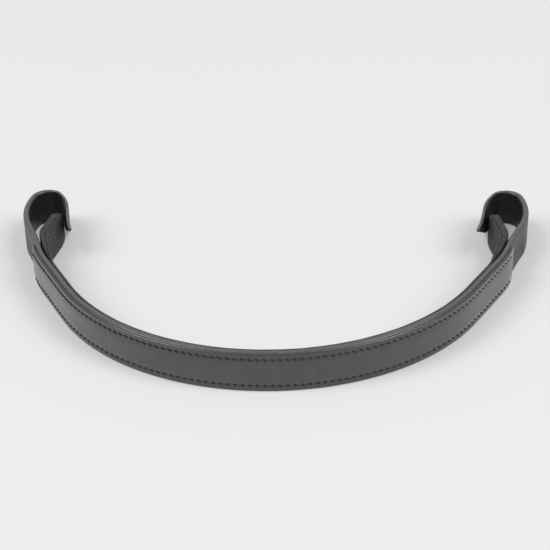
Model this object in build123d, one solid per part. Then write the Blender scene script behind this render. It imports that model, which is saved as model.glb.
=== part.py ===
"""A leather browband for a horse's bridle, standing on its lower edge.

The band is a stitched stack of a front cover over a raised filler, a base strap and a thin lining.
At each end the base strap runs on past the cover, folds back on itself and closes onto a tab with
hook-and-loop tape, so that the loop can be opened to let the headpiece in. Millimetres, +Z up, +Y
towards the loops. Left and right are as seen from in front of the band, so that +X is to the right.
"""

import os
from math import cos, pi, radians, sin

from build123d import *

# Heights above the surface that the band stands on.
strap_height = 16.0
lining_inset = 0.5
filler_margin = 4.2
tape_margin = 0.6

# Layers of the band, from its outer face inwards.
cover_thickness = 1.2
raised_step = 0.6
base_thickness = 2.6
lining_thickness = 1.0

# The outer face of the band from its middle to one end of the cover, seen from above.
brow_radius = 94.0
brow_turn = 61.0
cheek_run = 24.0
end_bend_radius = 76.0
end_bend_turn = 11.0

# The loop strap from the end of the cover round to its free end.
flare_radius = 176.0
flare_turn = -6.0
shoulder_radius = 43.8
shoulder_turn = 36.4
fold_radius = 7.2
fold_turn = 133.0
return_radius = 32.0
return_turn = 24.5
return_run = 7.0
nose_radius = 200.0
nose_turn = -1.6
nose_flare_radius = 45.0
nose_flare_turn = -9.0
free_end_thickness = 1.3
free_end_radius = 1.5

# The length and height of the slanting cuts off the free end's lower corner, which leaves it pointed
# along its upper edge, and off the tab's upper corner.
free_end_slant = 25.0, 14.0
tab_slant = 14.0, 8.0

# The closure between the free end and the tab. The tab is measured from its tip.
tape_thickness = 1.0
tape_gap = 0.3
hook_tape_length = 9.0
hook_tape_end_gap = 17.9
tab_thickness = 1.8
tab_heading = 280.0
tab_run = 11.5
tab_bend_radius = 12.0
tab_bend_turn = -25.0
tab_overlap = 27.9
tab_full_length = 44.0
tab_length = 54.0
tab_root_thickness = 0.3
tab_tip_radius = 4.0
loop_tape_inset = 1.0
wedge_radius = 30.0

# The cut at the far end of the fold, where the free end starts to swing.
hinge_gap = 0.2

# Stitching, nine stitches to the inch, and the shorter rows that hold the lining's end to the tab.
stitch_pitch = 2.8
stitch_length = 1.9
stitch_width = 0.6
stitch_relief = 0.25
upper_row_height = 13.7
lower_row_height = 2.4
row_end_margin = 3.0
tab_row_length = 14.0
tab_row_end_gap = 2.0


def arc(radius, turn):
    """One run of a path: its length and its turn in degrees, positive to the left."""
    return radius * radians(abs(turn)), turn


def straight(length):
    return length, 0.0


class Path:
    """A chain of tangent arcs and straight runs, seen from above and followed by its length."""

    def __init__(self, start, heading, runs):
        self.runs = []
        x, y = start
        at = 0.0
        angle = radians(heading)
        for length, turn in runs:
            self.runs.append((at, length, radians(turn), x, y, angle))
            x, y = self.along(x, y, angle, radians(turn) / length, length)
            angle += radians(turn)
            at += length
        self.length = at

    @staticmethod
    def along(x, y, angle, bend, distance):
        if bend == 0.0:
            return x + distance * cos(angle), y + distance * sin(angle)
        end = angle + bend * distance
        return x + (sin(end) - sin(angle)) / bend, y - (cos(end) - cos(angle)) / bend

    def place(self, s):
        """The point at length s, with the heading there in radians."""
        found = self.runs[0]
        for run in self.runs:
            if run[0] <= s:
                found = run
        at, length, turn, x, y, angle = found
        distance = s - at
        x, y = self.along(x, y, angle, turn / length, distance)
        return x, y, angle + turn / length * distance

    def point(self, s, inward=0.0):
        """The point at length s, moved to the left of the path by inward. A negative s mirrors it in X."""
        x, y, angle = self.place(abs(s))
        x -= inward * sin(angle)
        y += inward * cos(angle)
        return Vector(x if s >= 0 else -x, y)

    def heading(self, s):
        return self.place(s)[2] * 180 / pi

    def stations(self, first, last):
        """first, last, and the ends of the runs between them, on both sides of the middle."""
        joints = [run[0] for run in self.runs if run[0] > 0]
        joints += [-joint for joint in joints]
        if first >= 0:
            joints = [joint for joint in joints if joint > 0]
        near = 1e-6
        return [first] + sorted(joint for joint in joints if first + near < joint < last - near) + [last]


def edge_line(path, stations, inward_at):
    """The edges of a path moved inwards by inward_at(s), one arc or line for each run."""
    edges = []
    for first, last in zip(stations, stations[1:]):
        middle = (first + last) / 2
        ends = [path.point(s, inward_at(s)) for s in (first, middle, last)]
        chord = (ends[2] - ends[0]).length
        bulge = (ends[1] - (ends[0] + ends[2]) / 2).length
        if bulge < 1e-6 * chord:
            edges.append(Line(ends[0], ends[2]))
        else:
            edges.append(ThreePointArc(*ends))
    return edges


def strip(path, first, last, outer, inner, bottom=0.0, top=strap_height):
    """A strip of leather on edge between two offsets of a path.

    Each offset is one value or a (first, last) pair."""

    def spread(offset):
        if isinstance(offset, tuple):
            start, end = offset
            return lambda s: start + (end - start) * (s - first) / (last - first)
        return lambda s: offset

    stations = path.stations(first, last)
    outer_at, inner_at = spread(outer), spread(inner)
    edges = edge_line(path, stations, outer_at) + edge_line(path, stations, inner_at)
    edges.append(Line(path.point(first, outer_at(first)), path.point(first, inner_at(first))))
    edges.append(Line(path.point(last, outer_at(last)), path.point(last, inner_at(last))))
    outline = make_face(Wire(edges))
    return Pos(0, 0, bottom) * extrude(outline, amount=top - bottom, dir=(0, 0, 1))


def stitch_row(path, first, last, face, height, outward):
    """Separate stitches along a face of a path, standing proud of it by the thread's relief."""
    count = int((last - first) // stitch_pitch)
    slack = last - first - count * stitch_pitch
    offsets = (face - stitch_relief, face) if outward else (face, face + stitch_relief)
    stitches = []
    for index in range(count):
        start = first + slack / 2 + index * stitch_pitch
        stitches.append(
            strip(path, start, start + stitch_length, *offsets, height, height + stitch_width)
        )
    return stitches


def mirrored(shape):
    return mirror(shape, about=Plane.YZ)


# Paths of the right-hand half.
band = Path(
    (0, 0),
    0,
    [arc(brow_radius, brow_turn), straight(cheek_run), arc(end_bend_radius, end_bend_turn)],
)
cover_back = cover_thickness + raised_step
base_back = cover_back + base_thickness
lining_back = base_back + lining_thickness

loop_start = band.point(band.length, cover_back)
loop = Path(
    (loop_start.X, loop_start.Y),
    band.heading(band.length),
    [
        arc(flare_radius, flare_turn),
        arc(shoulder_radius, shoulder_turn),
        arc(fold_radius, fold_turn),
        arc(return_radius, return_turn),
        straight(return_run),
        arc(nose_radius, nose_turn),
        arc(nose_flare_radius, nose_flare_turn),
    ],
)
fold_start = loop.runs[2][0]
return_start = loop.runs[3][0]
far_turn = 180.0 - loop.heading(fold_start)
far_point = fold_start + fold_radius * radians(far_turn)
free_end = loop.point(loop.length, free_end_thickness / 2)

# The tab lies behind the free end's tape, then leaves it and runs forward to the band. This path is
# its centre-side face, which the soft tape and then the lining lie on, and it joins the lining's
# inner face on the cheek.
tab_face = free_end_thickness + tape_thickness + tape_gap
tab_tip_at = loop.length - tab_overlap
tab_tip = loop.point(tab_tip_at, tab_face)
tab_tip_heading = loop.heading(tab_tip_at)
lead_runs = [
    arc(return_radius - tab_face, tab_heading - tab_tip_heading),
    straight(tab_run),
    arc(tab_bend_radius, tab_bend_turn),
]
lead = Path((tab_tip.X, tab_tip.Y), tab_tip_heading, lead_runs)

# The straight run after it is as long as it takes for the last bend to end on the cheek.
cheek_point = band.point(band.runs[1][0], lining_back)
cheek_angle = radians(brow_turn)
from_cheek = lead.point(lead.length) - cheek_point
aside = from_cheek.Y * cos(cheek_angle) - from_cheek.X * sin(cheek_angle)
closing_turn = tab_heading + tab_bend_turn - 180.0 - brow_turn
wedge_drop = wedge_radius * (1 - cos(radians(closing_turn)))
wedge_run = (aside - wedge_drop) / sin(radians(closing_turn))
inner = Path(
    (tab_tip.X, tab_tip.Y),
    tab_tip_heading,
    lead_runs + [straight(wedge_run), arc(wedge_radius, -closing_turn)],
)
tab_end = inner.point(0, tape_thickness + tab_thickness / 2)
lining_split = lead.length - tab_bend_radius * radians(abs(tab_bend_turn))
from_cheek = inner.point(inner.length) - cheek_point
lining_meeting = band.runs[1][0] + from_cheek.X * cos(cheek_angle) + from_cheek.Y * sin(cheek_angle)


def front_cover():
    """The leather that shows, hollowed at the back over the filler."""
    cover = strip(band, -band.length, band.length, 0, cover_back)
    return cover - raised_filler()


def raised_filler():
    end = band.length - filler_margin
    return strip(band, -end, end, cover_thickness, cover_back, filler_margin, strap_height - filler_margin)


def base_strap():
    """The main strap, with the half of each loop that stays still."""
    leg = strip(loop, 0, far_point - hinge_gap / 2, 0, base_thickness)
    return strip(band, -band.length, band.length, cover_back, base_back) + leg + mirrored(leg)


def back_lining():
    """The thin lining on the horse's side, which ends on the two tabs."""
    bottom, top = lining_inset, strap_height - lining_inset
    end = strip(inner, lining_split, inner.length, lining_thickness, 0, bottom, top)
    middle = strip(band, -lining_meeting, lining_meeting, base_back, lining_back, bottom, top)
    return middle + end + mirrored(end)


def rounded_end(piece, corner, radius):
    """Rounds the corner of a strip's end that lies nearest to a point."""
    return fillet(piece.edges().sort_by_distance(corner)[0], radius)


def slanted(piece, end, slant, side, margin=0.0):
    """Cuts a slanting corner off a strap, so that a margin is left inside the line of the cut.

    Side 1 is the lower corner of an end that points forwards, and -1 is the upper corner of an end
    that points back."""
    length, rise = slant
    over = 0.25
    middle = strap_height / 2
    points = []
    for along, height in [(-over, 1 + over), (1 + over, -over), (-over, -over)]:
        z = middle + side * (height * rise + margin - middle)
        points.append(Vector(0, end.Y + side * along * length, z))
    wedge = extrude(make_face(Polyline(*points, close=True)), amount=2 * end.X, dir=(1, 0, 0))
    return piece - wedge


def loop_flap():
    """The half of the loop that swings open, skived down to its free end."""
    skived = (base_thickness, free_end_thickness)
    flap = strip(loop, far_point + hinge_gap / 2, return_start, 0, skived)
    flap += strip(loop, return_start, loop.length, 0, free_end_thickness)
    flap = rounded_end(flap, free_end + Vector(0, 0, strap_height), free_end_radius)
    return slanted(flap, free_end, free_end_slant, 1)


def hook_tape():
    last = loop.length - hook_tape_end_gap
    offsets = free_end_thickness + tape_thickness, free_end_thickness
    tape = strip(loop, last - hook_tape_length, last, *offsets, tape_margin, strap_height - tape_margin)
    return slanted(tape, free_end, free_end_slant, 1, tape_margin)


def closure_tab():
    """The tab inside the loop, thinned where it is sewn in between the lining and the base strap."""
    front = tape_thickness
    back = front + tab_thickness
    tab = rounded_end(strip(inner, 0, tab_full_length, front, back), tab_end, tab_tip_radius)
    tab = slanted(tab, tab_end, tab_slant, -1)
    root = strip(inner, tab_full_length, tab_length, front, (back, front + tab_root_thickness))
    return tab + root


def loop_tape():
    bottom, top = tape_margin, strap_height - tape_margin
    tape = strip(inner, loop_tape_inset, lining_split, 0, tape_thickness, bottom, top)
    return slanted(tape, tab_end, tab_slant, -1, tape_margin)


def band_stitching(height):
    """One row of stitches along the band, on its face and on its lining."""
    end = band.length - row_end_margin
    face = stitch_row(band, -end, end, 0, height, True)
    lining = stitch_row(band, -lining_meeting, lining_meeting, lining_back, height, False)
    return Compound(children=face + lining)


def tab_stitching():
    """The two short rows through the lining's end and the tab."""
    first = lining_split + tab_row_end_gap
    last = first + tab_row_length
    lower = stitch_row(inner, first, last, 0, lower_row_height, True)
    upper = stitch_row(inner, first, last, 0, upper_row_height, True)
    return Compound(children=lower + upper)


# The origin is at the middle of the space that the browband takes up, on the surface that it stands on.
depth_middle = (loop.point(far_point).Y - stitch_relief) / 2
move = Pos(0, -depth_middle, 0)


def write(name, shape):
    export_step(move * Compound(children=list(shape.solids())), "parts/" + name + ".step")


os.makedirs("parts", exist_ok=True)
write("front_cover", front_cover())
write("raised_filler", raised_filler())
write("base_strap", base_strap())
write("back_lining", back_lining())
write("upper_stitching", band_stitching(upper_row_height))
write("lower_stitching", band_stitching(lower_row_height))
for build in (loop_flap, hook_tape, closure_tab, loop_tape, tab_stitching):
    shape = build()
    write("right_" + build.__name__, shape)
    write("left_" + build.__name__, mirrored(shape))
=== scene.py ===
"""Looks of the leather browband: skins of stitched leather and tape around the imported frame, in metres."""

from math import cos, exp, log, pi, radians, sin, sqrt

import bpy
from mathutils import Matrix, Vector, noise


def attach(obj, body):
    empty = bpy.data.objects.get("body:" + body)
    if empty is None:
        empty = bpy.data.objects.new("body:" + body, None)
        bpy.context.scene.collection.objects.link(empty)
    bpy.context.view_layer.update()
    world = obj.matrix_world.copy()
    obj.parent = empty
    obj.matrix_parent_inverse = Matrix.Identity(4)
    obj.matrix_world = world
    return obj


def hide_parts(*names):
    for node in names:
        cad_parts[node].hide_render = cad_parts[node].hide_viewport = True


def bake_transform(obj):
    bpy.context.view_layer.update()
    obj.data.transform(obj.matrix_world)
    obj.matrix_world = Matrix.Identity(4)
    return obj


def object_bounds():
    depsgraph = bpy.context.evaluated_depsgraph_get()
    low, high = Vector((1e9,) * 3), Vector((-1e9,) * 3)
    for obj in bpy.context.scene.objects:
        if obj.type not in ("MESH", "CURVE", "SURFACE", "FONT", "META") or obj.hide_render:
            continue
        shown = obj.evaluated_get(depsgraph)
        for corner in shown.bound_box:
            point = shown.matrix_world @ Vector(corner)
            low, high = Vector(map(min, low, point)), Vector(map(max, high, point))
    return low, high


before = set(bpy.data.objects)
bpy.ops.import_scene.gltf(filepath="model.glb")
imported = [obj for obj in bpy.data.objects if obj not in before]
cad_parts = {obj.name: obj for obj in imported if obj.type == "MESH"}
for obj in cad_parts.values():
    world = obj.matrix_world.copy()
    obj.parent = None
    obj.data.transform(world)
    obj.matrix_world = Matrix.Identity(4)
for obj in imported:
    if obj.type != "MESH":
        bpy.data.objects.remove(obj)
cad_low, cad_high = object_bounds()

MM = 0.001

# The camera, in the frame's own axes.
camera_place = Vector((0.0282, -0.5209, 0.3134))
camera_aim = Vector((-0.0433, 0.8642, -0.5013))
camera_roll = radians(-1.2)
camera_lens = 98.25

# The strap and its layers, from the outer face inwards.
strap_height = 16.0 * MM
lining_inset = 0.5 * MM
cover_back = 1.8 * MM
base_thickness = 2.6 * MM
base_back = cover_back + base_thickness
lining_thickness = 1.0 * MM
lining_back = base_back + lining_thickness
free_end_thickness = 1.3 * MM
tape_thickness = 1.0 * MM
tape_gap = 0.3 * MM
tape_margin = 0.6 * MM
tab_thickness = 1.8 * MM
tab_length = 54.0 * MM
tab_tip_radius = 4.0 * MM
strap_edge_radius = 1.15 * MM

# The length and height of the slanting cuts off the free end's lower corner and off the tab's upper corner.
free_end_slant = 25.0 * MM, 14.0 * MM
tab_slant = 14.0 * MM, 8.0 * MM

# Stitching.
stitch_pitch = 2.8 * MM
upper_row = 13.7 * MM
lower_row = 2.4 * MM
row_end_margin = 3.0 * MM
thread_radius = 0.3 * MM
stitch_middle = 0.95 * MM

# The two rows on the band: name, height, lean of the stitches in degrees, and their length.
band_rows = (
    ("upper", upper_row, -27.0, 2.35 * MM),
    ("lower", lower_row, -10.0, 1.75 * MM),
)

# The short rows on each tab.
tab_row_margin = 2.0 * MM
tab_row_count = 5
tab_row_lean = -12.0
tab_stitch_length = 2.0 * MM

# The hook tape, along the free end.
hook_tape_length = 9.0 * MM
hook_tape_end_gap = 17.9 * MM
hook_tape_rows = [k / 12 for k in range(1, 12)]
woven_back = 0.45 * MM

# The cover's face: its rise between the rows of stitches, and the groove pressed along each row.
face_rise = 0.42 * MM
rise_width = 2.6 * MM
groove_depth = 0.07 * MM
groove_half_width = 0.6 * MM

both_ends = (("right", False), ("left", True))

# Sampling of the skins.
long_step = 1.0 * MM
fine_step = 0.4 * MM


def arc(radius, turn):
    """One run of a path: its length and its turn in degrees, positive to the left."""
    return radius * MM * radians(abs(turn)), turn


def straight(length):
    return length, 0.0


class Path:
    """A chain of tangent arcs and straight runs, seen from above and followed by its length."""

    def __init__(self, start, heading, runs):
        self.runs = []
        x, y = start
        at = 0.0
        angle = radians(heading)
        for length, turn in runs:
            self.runs.append((at, length, radians(turn), x, y, angle))
            x, y = self.along(x, y, angle, radians(turn) / length, length)
            angle += radians(turn)
            at += length
        self.length = at
        self.end_heading = angle

    @staticmethod
    def along(x, y, angle, bend, distance):
        if bend == 0.0:
            return x + distance * cos(angle), y + distance * sin(angle)
        end = angle + bend * distance
        return x + (sin(end) - sin(angle)) / bend, y - (cos(end) - cos(angle)) / bend

    def place(self, s):
        """The point at length s, with the heading there in radians."""
        found = self.runs[0]
        for run in self.runs:
            if run[0] <= s:
                found = run
        at, length, turn, x, y, angle = found
        x, y = self.along(x, y, angle, turn / length, s - at)
        return x, y, angle + turn / length * (s - at)

    def point(self, s, inward=0.0):
        x, y, angle = self.place(s)
        return Vector((x - inward * sin(angle), y + inward * cos(angle)))


class Station:
    """A place along a strap: where it is, which way is inwards, and its length along the strap."""

    def __init__(self, at, inward, s):
        self.at = at
        self.inward = inward
        self.s = s


def stations(path, places, offset=0.0, flip=False):
    """Stations at these lengths of a path. A negative length is on the mirrored half."""
    found = []
    for s in places:
        x, y, angle = path.place(abs(s))
        inward = Vector((-sin(angle), cos(angle)))
        at = Vector((x, y)) + inward * offset
        if s < 0:
            at.x, inward.x = -at.x, -inward.x
        found.append(Station(at, -inward if flip else inward, s))
    return found


def spaced(first, last, step):
    count = max(1, round(abs(last - first) / step))
    return [first + (last - first) * index / count for index in range(count + 1)]


# The right-hand half, as the CAD lays it out: its middle is on the band's outer face at x = 0.
# Radii are in millimetres and turns in degrees.
brow_turn = 61.0
fold_radius = 7.2
return_radius = 32.0
tab_heading = 280.0
wedge_radius, wedge_turn = 12.0, 25.0
meeting_radius = 30.0
band = Path((0.0, cad_low.y + 0.25 * MM), 0.0, [arc(94.0, brow_turn), straight(24.0 * MM), arc(76.0, 11.0)])
loop_start = band.point(band.length, cover_back)
loop_heading = band.end_heading * 180 / pi
return_runs = [arc(return_radius, 24.5), straight(7.0 * MM), arc(200.0, -1.6), arc(45.0, -9.0)]
outer_runs = [arc(176.0, -6.0), arc(43.8, 36.4), arc(fold_radius, 133.0)]
loop = Path(loop_start, loop_heading, outer_runs + return_runs)
fold_start = loop.runs[2][0]
return_start = loop.runs[3][0]
far_point = fold_start + fold_radius * MM * (pi - loop.place(fold_start)[2])

# The tab's centre-side face, from its tip inside the loop to where the lining meets the band.
tab_face = free_end_thickness + tape_thickness + tape_gap
tab_tip_at = loop.length - 27.9 * MM
tab_tip = loop.point(tab_tip_at, tab_face)
tab_tip_heading = loop.place(tab_tip_at)[2] * 180 / pi
lead_runs = [
    arc(return_radius - tab_face / MM, tab_heading - tab_tip_heading),
    straight(11.5 * MM),
    arc(wedge_radius, -wedge_turn),
]
lead = Path(tab_tip, tab_tip_heading, lead_runs)
cheek_point = band.point(band.runs[1][0], lining_back)
cheek = Vector((cos(radians(brow_turn)), sin(radians(brow_turn))))
from_cheek = lead.point(lead.length) - cheek_point
aside = from_cheek.y * cheek.x - from_cheek.x * cheek.y
closing_turn = tab_heading - wedge_turn - 180.0 - brow_turn
wedge_drop = meeting_radius * MM * (1 - cos(radians(closing_turn)))
wedge_run = (aside - wedge_drop) / sin(radians(closing_turn))
inner = Path(tab_tip, tab_tip_heading, lead_runs + [straight(wedge_run), arc(meeting_radius, -closing_turn)])
lining_split = lead.length - wedge_radius * MM * radians(wedge_turn)
lining_meeting = band.runs[1][0] + (inner.point(inner.length) - cheek_point).dot(cheek)


# ---------------------------------------------------------------- meshes


def smoothstep(low, high, value):
    t = min(1.0, max(0.0, (value - low) / (high - low)))
    return t * t * (3 - 2 * t)


def wave(s, height, size, seed):
    """Smooth noise from -1 to 1 over the leather, in cells of about size."""
    return noise.noise(Vector((s / size, height / size, seed)))


class Skin:
    """A closed mesh, with the place along and across the strap and the edge weight kept at each vertex."""

    def __init__(self):
        self.points = []
        self.strap = []
        self.edge = []
        self.faces = []
        self.sharp = []

    def add_ring(self, ring):
        """ring: (point, strap coordinates, edge weight) for each vertex. Returns their indexes."""
        first = len(self.points)
        for point, strap, edge in ring:
            self.points.append(point)
            self.strap.append(strap)
            self.edge.append(edge)
        return list(range(first, len(self.points)))

    def join(self, one, other):
        count = len(one)
        for index in range(count):
            after = (index + 1) % count
            self.faces.append((one[index], one[after], other[after], other[index]))

    def close(self, ring, sharp=True):
        self.faces.append(tuple(ring))
        if sharp:
            self.sharp += [(ring[i], ring[(i + 1) % len(ring)]) for i in range(len(ring))]

    def tube(self, rings, sharp=True):
        """Faces between the rings in order, with both ends closed."""
        for one, other in zip(rings, rings[1:]):
            self.join(other, one)
        self.close(rings[0], sharp)
        self.close(list(reversed(rings[-1])), sharp)

    def build(self, name, material, mirror=False):
        mesh = bpy.data.meshes.new(name)
        points = [(-x, y, z) if mirror else (x, y, z) for x, y, z in self.points]
        faces = [tuple(reversed(face)) if mirror else face for face in self.faces]
        mesh.from_pydata(points, [], faces)
        for key, kind, values in [
            ("strap", "FLOAT_VECTOR", [c for value in self.strap for c in value]),
            ("edge", "FLOAT", self.edge),
        ]:
            layer = mesh.attributes.new(key, kind, "POINT")
            layer.data.foreach_set("vector" if kind == "FLOAT_VECTOR" else "value", values)
        mesh.validate()
        mesh.shade_smooth()
        if self.sharp:
            wanted = {frozenset(pair) for pair in self.sharp}
            edges = mesh.attributes.new("sharp_edge", "BOOLEAN", "EDGE")
            for edge in mesh.edges:
                edges.data[edge.index].value = frozenset(edge.vertices) in wanted
        mesh.materials.append(material)
        piece = bpy.data.objects.new(name, mesh)
        bpy.context.scene.collection.objects.link(piece)
        return piece


def rounded(outer, inner, bottom, top, radius, rows):
    """A strap's ring: (offset, height, edge) up its outer face, over the top, down its inner face and under.
    rows are shares of the flat part's height, where the faces need points."""
    radius = min(radius, (inner - outer) / 2.05, (top - bottom) / 2.05)
    arcs = 5
    low, high = bottom + radius, top - radius
    faces = [low + (high - low) * share for share in (0, *rows, 1)]

    def corner(x, y, start):
        turned = [radians(start - 90 * k / arcs) for k in range(1, arcs)]
        return [(x + radius * cos(a), y + radius * sin(a), abs(sin(a)) ** 1.5) for a in turned]

    ring = [(outer, h, 0.0) for h in faces]
    ring += corner(outer + radius, top - radius, 180)
    ring += [(outer + radius, top, 1.0), (inner - radius, top, 1.0)]
    ring += corner(inner - radius, top - radius, 90)
    ring += [(inner, h, 0.0) for h in reversed(faces)]
    ring += corner(inner - radius, bottom + radius, 0)
    ring += [(inner - radius, bottom, 1.0), (outer + radius, bottom, 1.0)]
    return ring + corner(outer + radius, bottom + radius, 270)


def add_sweep(skin, places, section):
    """A closed tube through the stations. section(station) gives the ring there."""
    rings = []
    for station in places:
        ring = []
        for offset, height, edge in section(station):
            at = station.at + station.inward * offset
            ring.append(((at.x, at.y, height), (station.s, height, offset), edge))
        rings.append(skin.add_ring(ring))
    skin.tube(rings)


def sweep(places, section, name, material, mirror=False):
    skin = Skin()
    add_sweep(skin, places, section)
    return skin.build(name, material, mirror)


def corner_cut(distance, radius):
    """How far a rounded corner of a strap's end has moved in from its edge, at a distance from that end."""
    if distance >= radius:
        return 0.0
    return radius - sqrt(max(0.0, radius * radius - (radius - distance) ** 2))


def slant(distance, cut):
    """How far a slanting cut has moved in from a strap's edge, at a distance from the strap's end."""
    length, rise = cut
    line = rise * (1 - distance / length)
    softened = 0.8 * MM
    return softened * log(1 + exp(line / softened)) - 0.02 * MM


def end_spaced(first, last, step, rounded_length):
    """Lengths from first to last that crowd together where the end at last is rounded."""
    near = last - rounded_length
    crowded = 14
    crowd = [last - rounded_length * (1 - sin(pi / 2 * k / crowded)) for k in range(1, crowded)]
    return spaced(first, near, step) + crowd + [last - 0.01 * MM]


# ---------------------------------------------------------------- materials


def node(tree, kind, inputs=None, out=0, **settings):
    made = tree.nodes.new(kind)
    for key, value in settings.items():
        setattr(made, key, value)
    for key, value in (inputs or {}).items():
        if isinstance(value, bpy.types.NodeSocket):
            tree.links.new(value, made.inputs[key])
        else:
            made.inputs[key].default_value = value
    return made.outputs[out]


def maths(tree, operation, a, b=0.0):
    return node(tree, "ShaderNodeMath", {0: a, 1: b}, operation=operation)


def mix(tree, factor, a, b):
    inputs = {"Factor": factor, 6: a, 7: b}
    return node(tree, "ShaderNodeMix", inputs, out=2, data_type="RGBA")


def cells(tree, strap, along, across, detail):
    """Noise in cells of these sizes, in metres, along and across the strap."""
    scale = (1 / along, 1 / across, 1 / across)
    scaled = node(tree, "ShaderNodeVectorMath", {0: strap, 1: scale}, operation="MULTIPLY")
    return node(tree, "ShaderNodeTexNoise", {"Vector": scaled, "Scale": 1.0, "Detail": detail})


def ramp(tree, value, low, high):
    return node(tree, "ShaderNodeMapRange", {"Value": value, "From Min": low, "From Max": high})


def painted_hole_shade(tree, strap, first):
    """1 in the awl holes of the two rows and 0 elsewhere: the mask of the painted shade in the holes. The
    holes are a pitch apart, from first on.
    """
    split = tree.nodes.new("ShaderNodeSeparateXYZ")
    tree.links.new(strap, split.inputs[0])
    turns = maths(tree, "DIVIDE", maths(tree, "SUBTRACT", split.outputs[0], first), stitch_pitch)
    along = maths(tree, "MULTIPLY", maths(tree, "SUBTRACT", maths(tree, "FRACT", turns), 0.5), stitch_pitch)
    middle, half = (upper_row + lower_row) / 2, (upper_row - lower_row) / 2
    from_middle = maths(tree, "ABSOLUTE", maths(tree, "SUBTRACT", split.outputs[1], middle))
    across = maths(tree, "SUBTRACT", from_middle, half)
    slanted = maths(tree, "ADD", along, maths(tree, "MULTIPLY", across, 0.6))
    wide = maths(tree, "DIVIDE", slanted, 0.30 * MM)
    tall = maths(tree, "DIVIDE", across, 0.50 * MM)
    reach = maths(tree, "ADD", maths(tree, "MULTIPLY", wide, wide), maths(tree, "MULTIPLY", tall, tall))
    return node(tree, "ShaderNodeMapRange", {"Value": reach, "From Min": 1.3, "From Max": 0.5})


def new_material(name):
    material = bpy.data.materials.new(name)
    material.use_nodes = True
    shader = material.node_tree.nodes["Principled BSDF"]
    return material, material.node_tree, shader


def leather(name, face, edge, gloss, creases, marks_from=None, coat=0.0):
    """Dyed leather: grain, fine creases across the strap, scuffs, a paler burnished edge, and painted shade
    in the awl holes where marks_from is given.
    """
    material, tree, shader = new_material(name)
    strap = node(tree, "ShaderNodeAttribute", out="Vector", attribute_name="strap")
    on_edge = node(tree, "ShaderNodeAttribute", out="Fac", attribute_name="edge")
    crease = cells(tree, strap, 0.7 * MM, 14 * MM, 3.0)
    patches = cells(tree, strap, 16 * MM, 9 * MM, 3.0)
    grain = node(
        tree,
        "ShaderNodeTexVoronoi",
        {"Vector": strap, "Scale": 1 / (0.55 * MM)},
        feature="SMOOTH_F1",
    )
    fibres = cells(tree, strap, 1.6 * MM, 0.25 * MM, 4.0)
    tint = maths(tree, "ADD", maths(tree, "MULTIPLY", crease, 0.7), maths(tree, "MULTIPLY", patches, 0.6))
    dark = tuple(0.62 * c for c in face)
    skin = mix(tree, ramp(tree, tint, 0.42, 0.88), (*dark, 1), (*face, 1))
    dark_edge = tuple(0.6 * c for c in edge)
    rim = mix(tree, ramp(tree, fibres, 0.3, 0.7), (*dark_edge, 1), (*edge, 1))
    colour = mix(tree, on_edge, skin, rim)
    folds = maths(tree, "MULTIPLY", crease, creases)
    height = maths(tree, "ADD", folds, maths(tree, "MULTIPLY", grain, 0.35))
    frayed = maths(tree, "MULTIPLY", fibres, on_edge)
    height = maths(tree, "ADD", height, maths(tree, "MULTIPLY", frayed, 0.5))
    if marks_from is not None:
        # Painted shade: each awl hole is coloured near-black for the shade down inside it, and pressed into
        # the bump.
        marks = painted_hole_shade(tree, strap, marks_from)
        colour = mix(tree, maths(tree, "MULTIPLY", marks, 0.85), colour, (0.002, 0.002, 0.002, 1))
        height = maths(tree, "SUBTRACT", height, maths(tree, "MULTIPLY", marks, 2.2))
    rough = maths(tree, "ADD", gloss, maths(tree, "MULTIPLY", maths(tree, "SUBTRACT", patches, 0.5), 0.25))
    rough = maths(tree, "SUBTRACT", rough, maths(tree, "MULTIPLY", on_edge, 0.1))
    bump = node(tree, "ShaderNodeBump", {"Strength": 0.55, "Distance": 0.12 * MM, "Height": height})
    tree.links.new(colour, shader.inputs["Base Color"])
    tree.links.new(rough, shader.inputs["Roughness"])
    tree.links.new(bump, shader.inputs["Normal"])
    shader.inputs["Coat Weight"].default_value = coat
    shader.inputs["Coat Roughness"].default_value = 0.14
    return material


def woven(name, colour, pale, size, depth):
    """Tape or fuzz: matt fibres in tangled cells of this size."""
    material, tree, shader = new_material(name)
    strap = node(tree, "ShaderNodeAttribute", out="Vector", attribute_name="strap")
    tangle = cells(tree, strap, size, size, 6.0)
    clumps = cells(tree, strap, 7 * size, 5 * size, 3.0)
    both = maths(tree, "ADD", maths(tree, "MULTIPLY", tangle, 0.6), maths(tree, "MULTIPLY", clumps, 0.5))
    shade = mix(tree, ramp(tree, both, 0.38, 0.75), (*colour, 1), (*pale, 1))
    bump = node(tree, "ShaderNodeBump", {"Strength": 0.9, "Distance": depth, "Height": tangle})
    rough = maths(tree, "ADD", 0.75, maths(tree, "MULTIPLY", clumps, 0.25))
    tree.links.new(shade, shader.inputs["Base Color"])
    tree.links.new(rough, shader.inputs["Roughness"])
    tree.links.new(bump, shader.inputs["Normal"])
    return material


def thread_material():
    """Waxed black thread: two plies twisted together."""
    material, tree, shader = new_material("waxed_thread")
    strap = node(tree, "ShaderNodeAttribute", out="Vector", attribute_name="strap")
    ply = node(
        tree,
        "ShaderNodeTexWave",
        {"Vector": strap, "Scale": 1 / (2.4 * MM), "Distortion": 0.6, "Detail": 1.0},
        bands_direction="DIAGONAL",
    )
    shade = mix(tree, ply, (0.004, 0.004, 0.004, 1), (0.016, 0.016, 0.017, 1))
    bump = node(tree, "ShaderNodeBump", {"Strength": 0.5, "Distance": 0.08 * MM, "Height": ply})
    tree.links.new(shade, shader.inputs["Base Color"])
    tree.links.new(maths(tree, "ADD", 0.5, maths(tree, "MULTIPLY", ply, 0.2)), shader.inputs["Roughness"])
    tree.links.new(bump, shader.inputs["Normal"])
    return material


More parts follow.
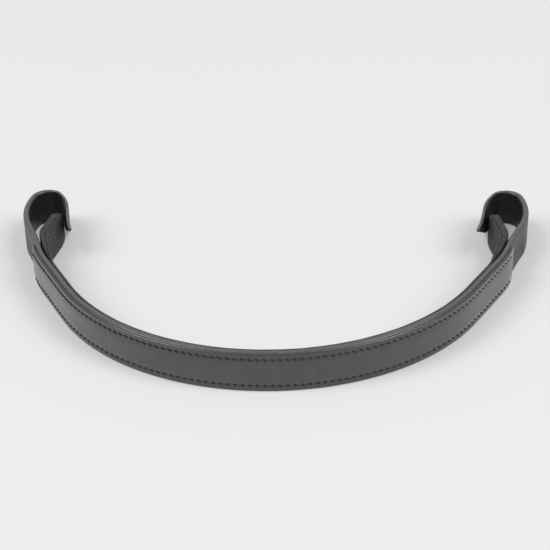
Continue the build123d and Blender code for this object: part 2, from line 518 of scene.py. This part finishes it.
row_first = -(band.length - row_end_margin)
row_count = int(-2 * row_first // stitch_pitch)
face_start = row_first + (-2 * row_first - row_count * stitch_pitch) / 2
lining_count = int(2 * lining_meeting // stitch_pitch)
lining_start = -lining_meeting + (2 * lining_meeting - lining_count * stitch_pitch) / 2
face_marks = face_start + stitch_middle
lining_marks = lining_start + stitch_middle
cover_leather = leather(
    "cover_leather",
    face=(0.047, 0.048, 0.050),
    edge=(0.040, 0.041, 0.044),
    gloss=0.34,
    creases=0.6,
    marks_from=face_marks,
    coat=0.7,
)
strap_leather = leather(
    "strap_leather",
    face=(0.022, 0.021, 0.020),
    edge=(0.120, 0.122, 0.118),
    gloss=0.42,
    creases=0.35,
)
lining_leather = leather(
    "lining_leather",
    face=(0.024, 0.022, 0.021),
    edge=(0.050, 0.052, 0.050),
    gloss=0.5,
    creases=0.3,
    marks_from=lining_marks,
)
tab_leather = woven("tab_leather", (0.016, 0.015, 0.014), (0.062, 0.060, 0.057), 0.45 * MM, 0.25 * MM)
soft_tape = woven("soft_tape", (0.022, 0.020, 0.019), (0.085, 0.080, 0.076), 0.35 * MM, 0.3 * MM)
hook_tape = woven("hook_tape", (0.012, 0.012, 0.012), (0.03, 0.03, 0.03), 0.25 * MM, 0.12 * MM)
thread = thread_material()


# ---------------------------------------------------------------- leather pieces

# Shares of a strap's height where its faces have points, closer together along the two rows of stitches.
near_row = (0.02, 0.05, 0.08, 0.11, 0.14, 0.18, 0.23, 0.3)
face_rows = [*near_row, 0.4, 0.5, 0.6, *(1 - share for share in reversed(near_row))]


def relief(height, s):
    """How far the cover's face sits back from its highest line: pressed down along both rows of stitches."""
    rise = smoothstep(lower_row, lower_row + rise_width, height)
    fall = smoothstep(upper_row - rise_width, upper_row, height)
    raised = rise - fall
    groove = sum(max(0.0, 1 - ((height - row) / groove_half_width) ** 2) for row in (lower_row, upper_row))
    ripple = 0.035 * MM * wave(s, height, 5 * MM, 3.0) + 0.02 * MM * wave(s, height / 4, 1.6 * MM, 9.0)
    return 0.06 * MM + face_rise * (1 - raised) + groove_depth * groove + ripple


def cover_section(station):
    thin = smoothstep(0, 5 * MM, band.length - abs(station.s))
    top = strap_height - 0.1 * MM * (1 + wave(station.s, 0, 9 * MM, 1.0))
    bottom = 0.04 * MM * (1 + wave(station.s, 0, 9 * MM, 2.0))
    front = (1 - thin) * 0.9 * MM
    ring = []
    for offset, height, edge in rounded(front, cover_back, bottom, top, 0.6 * MM, face_rows):
        share = 1 - (offset - front) / (cover_back - front)
        ring.append((offset + share * thin * relief(height, station.s), height, edge))
    return ring


def strap_top(s, seed):
    return strap_height - 0.12 * MM * (1 + wave(s, 0, 7 * MM, seed))


def base_section(station):
    top = strap_top(station.s, 4.0)
    return rounded(cover_back, base_back, 0.0, top, strap_edge_radius, face_rows)


def loop_section(station):
    """The strap of a loop: full at first, skived round the fold, and cut to a point along its upper edge."""
    s = station.s
    skived = smoothstep(far_point - 6 * MM, return_start, s)
    thickness = base_thickness + (free_end_thickness - base_thickness) * skived
    to_end = loop.length - s
    bottom = slant(to_end, free_end_slant)
    top = min(strap_top(s, 4.0), strap_height - corner_cut(to_end, 1.5 * MM))
    swell = 0.05 * MM * wave(s, 0, 6 * MM, 6.0)
    radius = strap_edge_radius - 0.6 * MM * skived
    return rounded(swell, thickness, bottom, top, radius, face_rows)


def lining_section(station):
    top = strap_height - lining_inset - 0.08 * MM * (1 + wave(station.s, 0, 6 * MM, 7.0))
    return rounded(-lining_thickness, 0.0, lining_inset, top, 0.35 * MM, face_rows)


def lining_places():
    """Along the band between the two wedges, and on along each tab to where the lining ends."""
    middle = stations(band, spaced(-lining_meeting, lining_meeting, long_step), lining_back)
    right = stations(inner, spaced(inner.length, lining_split, fine_step * 2), 0.0, flip=True)[1:]
    for station in right:
        station.s = lining_meeting + inner.length - station.s
    left = [
        Station(Vector((-p.at.x, p.at.y)), Vector((-p.inward.x, p.inward.y)), -p.s) for p in reversed(right)
    ]
    return left + middle + right


def tab_section(station):
    """The tab: rounded and cut off at its tip, puffed out behind, and thinned where it is sewn in."""
    s = station.s
    cut = corner_cut(s, tab_tip_radius)
    upper_cut = slant(s, tab_slant)
    root = smoothstep(40 * MM, tab_length, s)
    back = tape_thickness + tab_thickness * (1 - root) + 0.25 * MM * root
    rough = 0.12 * MM * wave(s, 0, 1.2 * MM, 8.0)
    top = strap_height - 0.15 * MM + rough * 0.8 - upper_cut
    puff = 1.3 * MM * smoothstep(6 * MM, 14 * MM, s) * smoothstep(38 * MM, 28 * MM, s)
    return rounded(tape_thickness, back + puff, 0.05 * MM + cut, top, 0.5 * MM, face_rows)


def tape_section(station):
    """The soft tape, its face a tangle of raised loops."""
    s = station.s
    rows = [k / 34 for k in range(1, 34)]
    ring = []
    bottom = tape_margin + corner_cut(s, tab_tip_radius)
    top = strap_height - tape_margin - slant(s, tab_slant)
    for offset, height, edge in rounded(0.0, tape_thickness, bottom, top, 0.4 * MM, rows):
        fuzz = 0.16 * MM * wave(s, height, 0.7 * MM, 5.0) + 0.08 * MM * wave(s, height, 0.3 * MM, 15.0)
        proud = (0.12 * MM + fuzz) * (1 - offset / tape_thickness)
        ring.append((offset + proud, height, edge))
    return ring


places = stations(band, spaced(-band.length, band.length, 0.7 * MM))
cover = sweep(places, cover_section, "front_cover_leather", cover_leather)
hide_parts("front_cover", "raised_filler")
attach(cover, "root")

places = stations(band, spaced(-band.length, band.length, long_step))
base = sweep(places, base_section, "base_strap_leather", strap_leather)
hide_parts("base_strap")
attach(base, "root")

lining = sweep(lining_places(), lining_section, "back_lining_leather", lining_leather)
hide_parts("back_lining")
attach(lining, "root")

for side, mirror in both_ends:
    places = end_spaced(0.0, loop.length, 0.7 * MM, 6 * MM)
    strap = sweep(stations(loop, places), loop_section, f"{side}_loop_leather", strap_leather, mirror)
    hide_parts(f"{side}_loop_flap")
    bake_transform(strap)

    places = [tab_length - s for s in end_spaced(0.0, tab_length, 0.8 * MM, tab_tip_radius)]
    tab = sweep(stations(inner, places), tab_section, f"{side}_tab_leather", tab_leather, mirror)
    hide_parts(f"{side}_closure_tab")
    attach(tab, "root")

    places = spaced(lining_split, 1 * MM, fine_step)
    tape = sweep(stations(inner, places), tape_section, f"{side}_soft_tape", soft_tape, mirror)
    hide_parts(f"{side}_loop_tape")
    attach(tape, "root")


# ---------------------------------------------------------------- stitching


def add_stitch(skin, middle, tangent, outward, length, lean):
    """One stitch: a twisted two-ply tube that rises out of its holes, leaning over by lean degrees."""
    up = Vector((0, 0, 1))
    along = tangent * cos(radians(lean)) + up * sin(radians(lean))
    aside = outward.cross(along)
    rings, sides = 9, 10
    made = []
    for index in range(rings):
        u = -1 + 2 * index / (rings - 1)
        rise = thread_radius * (0.75 - 1.5 * u * u * u * u)
        centre = middle + along * (u * length / 2) + outward * rise
        thick = thread_radius * (1 - 0.45 * u * u * u * u)
        ring = []
        for k in range(sides):
            angle = 2 * pi * k / sides
            radius = thick * (1 + 0.13 * cos(2 * angle - 7 * u))
            point = centre + aside * (radius * cos(angle)) + outward * (radius * sin(angle))
            ring.append((tuple(point), (u * length / 2, angle * thread_radius, 0.0), 0.0))
        made.append(skin.add_ring(ring))
    for one, other in zip(made, made[1:]):
        skin.join(one, other)
    skin.close(list(reversed(made[0])), sharp=False)
    skin.close(made[-1], sharp=False)


def add_row(skin, path, first, count, face, height, outward_sign, slope, length):
    for index in range(count):
        s = first + index * stitch_pitch + stitch_middle
        station = stations(path, [s], face)[0]
        outward = Vector((*(station.inward * outward_sign), 0))
        tangent = Vector((0, 0, 1)).cross(outward)
        middle = Vector((*station.at, height)) - outward * 0.06 * MM
        lean = slope + 5 * wave(s, height, 4 * MM, 11.0)
        add_stitch(skin, middle, tangent, outward, length, lean)


for row, height, slope, length in band_rows:
    skin = Skin()
    add_row(skin, band, face_start, row_count, relief(height, 0.0), height, -1, slope, length)
    add_row(skin, band, lining_start, lining_count, lining_back, height, 1, slope, length)
    stitches = skin.build(f"{row}_thread", thread)
    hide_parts(f"{row}_stitching")
    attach(stitches, "root")

for side, mirror in both_ends:
    skin = Skin()
    for height in (lower_row, upper_row):
        first = lining_split + tab_row_margin
        add_row(skin, inner, first, tab_row_count, 0.0, height, -1, tab_row_lean, tab_stitch_length)
    stitches = skin.build(f"{side}_tab_thread", thread, mirror)
    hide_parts(f"{side}_tab_stitching")
    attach(stitches, "root")


# ---------------------------------------------------------------- hook tape


def hook_tape_low(s):
    """The lower edge of the hook tape, which follows the slanting cut at its own margin."""
    return max(tape_margin, slant(loop.length - s, free_end_slant) + tape_margin)


def hook_tape_section(station):
    low, top = hook_tape_low(station.s), strap_height - tape_margin
    back = free_end_thickness + woven_back
    return rounded(free_end_thickness, back, low, top, 0.2 * MM, hook_tape_rows)


def hook_tape_skin():
    """A woven strip on the free end's inner face, covered with small bent hooks."""
    skin = Skin()
    last = loop.length - hook_tape_end_gap
    first = last - hook_tape_length
    top = strap_height - tape_margin
    add_sweep(skin, stations(loop, spaced(first, last, fine_step)), hook_tape_section)
    for s in spaced(first + 0.6 * MM, last - 0.6 * MM, 0.9 * MM):
        station = stations(loop, [s])[0]
        inward = Vector((*station.inward, 0))
        for height in spaced(hook_tape_low(s) + 0.6 * MM, top - 0.6 * MM, 1.1 * MM):
            root = Vector((*station.at, height)) + inward * (free_end_thickness + woven_back - 0.05 * MM)
            add_hook(skin, root, inward)
    return skin


def add_hook(skin, root, inward):
    """A bent monofilament, under half a millimetre tall."""
    up = Vector((0, 0, 1))
    aside = inward.cross(up)
    rise, bend, radius, sides = 0.42 * MM, 0.2 * MM, 0.09 * MM, 5
    made = []
    for index in range(7):
        turn = pi * 0.8 * index / 6
        out = rise * min(1.0, index / 3) * 0.75 + 0.1 * MM * sin(turn)
        centre = root + inward * out + up * bend * (1 - cos(turn))
        heading = (inward * cos(turn) + up * sin(turn)).normalized()
        across = aside.cross(heading)
        ring = []
        for k in range(sides):
            angle = 2 * pi * k / sides
            point = centre + aside * (radius * cos(angle)) + across * (radius * sin(angle))
            ring.append((tuple(point), (index * 0.1 * MM, angle * radius, 0.0), 0.0))
        made.append(skin.add_ring(ring))
    skin.tube(made, sharp=False)


for side, mirror in both_ends:
    hooks = hook_tape_skin().build(f"{side}_hook_tape_strip", hook_tape, mirror)
    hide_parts(f"{side}_hook_tape")
    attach(hooks, f"{side}_flap")


# ---------------------------------------------------------------- floor, light and camera


def make_floor():
    """A pale light table: part of its light is its own, which keeps the shadow faint."""
    skin = Skin()
    half = 6.0
    corners = ((-half, -half), (half, -half), (half, half), (-half, half))
    ring = skin.add_ring([((x, y, 0.0), (x, y, 0.0), 0.0) for x, y in corners])
    skin.close(ring, sharp=False)
    material, tree, shader = new_material("pale_floor")
    place = node(tree, "ShaderNodeTexCoord", out="Object")
    soft = node(tree, "ShaderNodeTexNoise", {"Vector": place, "Scale": 3.0})
    tree.links.new(mix(tree, soft, (0.49, 0.49, 0.49, 1), (0.50, 0.50, 0.50, 1)), shader.inputs["Base Color"])
    shader.inputs["Roughness"].default_value = 0.9
    shader.inputs["Specular IOR Level"].default_value = 0.0
    shader.inputs["Emission Color"].default_value = (1, 1, 1, 1)
    shader.inputs["Emission Strength"].default_value = 0.22
    floor = skin.build("floor", material)


def make_light(name, place, size, power):
    """A soft box that faces the middle of the band."""
    light = bpy.data.lights.new(name, "AREA")
    light.shape = "RECTANGLE"
    light.size, light.size_y = size
    light.energy = power
    lamp = bpy.data.objects.new(name, light)
    lamp.location = place
    lamp.rotation_mode = "QUATERNION"
    lamp.rotation_quaternion = (Vector((0, 0, 0)) - Vector(place)).to_track_quat("-Z", "Y")
    bpy.context.scene.collection.objects.link(lamp)


def make_world(strength):
    world = bpy.data.worlds.new("studio")
    world.use_nodes = True
    world.node_tree.nodes["Background"].inputs["Color"].default_value = (1, 1, 1, 1)
    world.node_tree.nodes["Background"].inputs["Strength"].default_value = strength
    bpy.context.scene.world = world


def make_camera():
    camera = bpy.data.cameras.new("camera")
    camera.lens = camera_lens
    camera.sensor_width = 36.0
    camera.clip_start = 0.01
    seer = bpy.data.objects.new("camera", camera)
    seer.rotation_mode = "QUATERNION"
    seer.location = camera_place
    aimed = camera_aim.to_track_quat("-Z", "Y").to_matrix()
    seer.rotation_quaternion = (aimed @ Matrix.Rotation(camera_roll, 3, "Z")).to_quaternion()
    bpy.context.scene.collection.objects.link(seer)
    bpy.context.scene.camera = seer


make_floor()
make_world(0.42)
for name, x in (("left_box", -2.0), ("right_box", 2.0)):
    make_light(name, (x, -0.6, 2.4), size=(1.5, 2.2), power=62.0)
make_camera()
bpy.context.scene.view_settings.view_transform = "Standard"
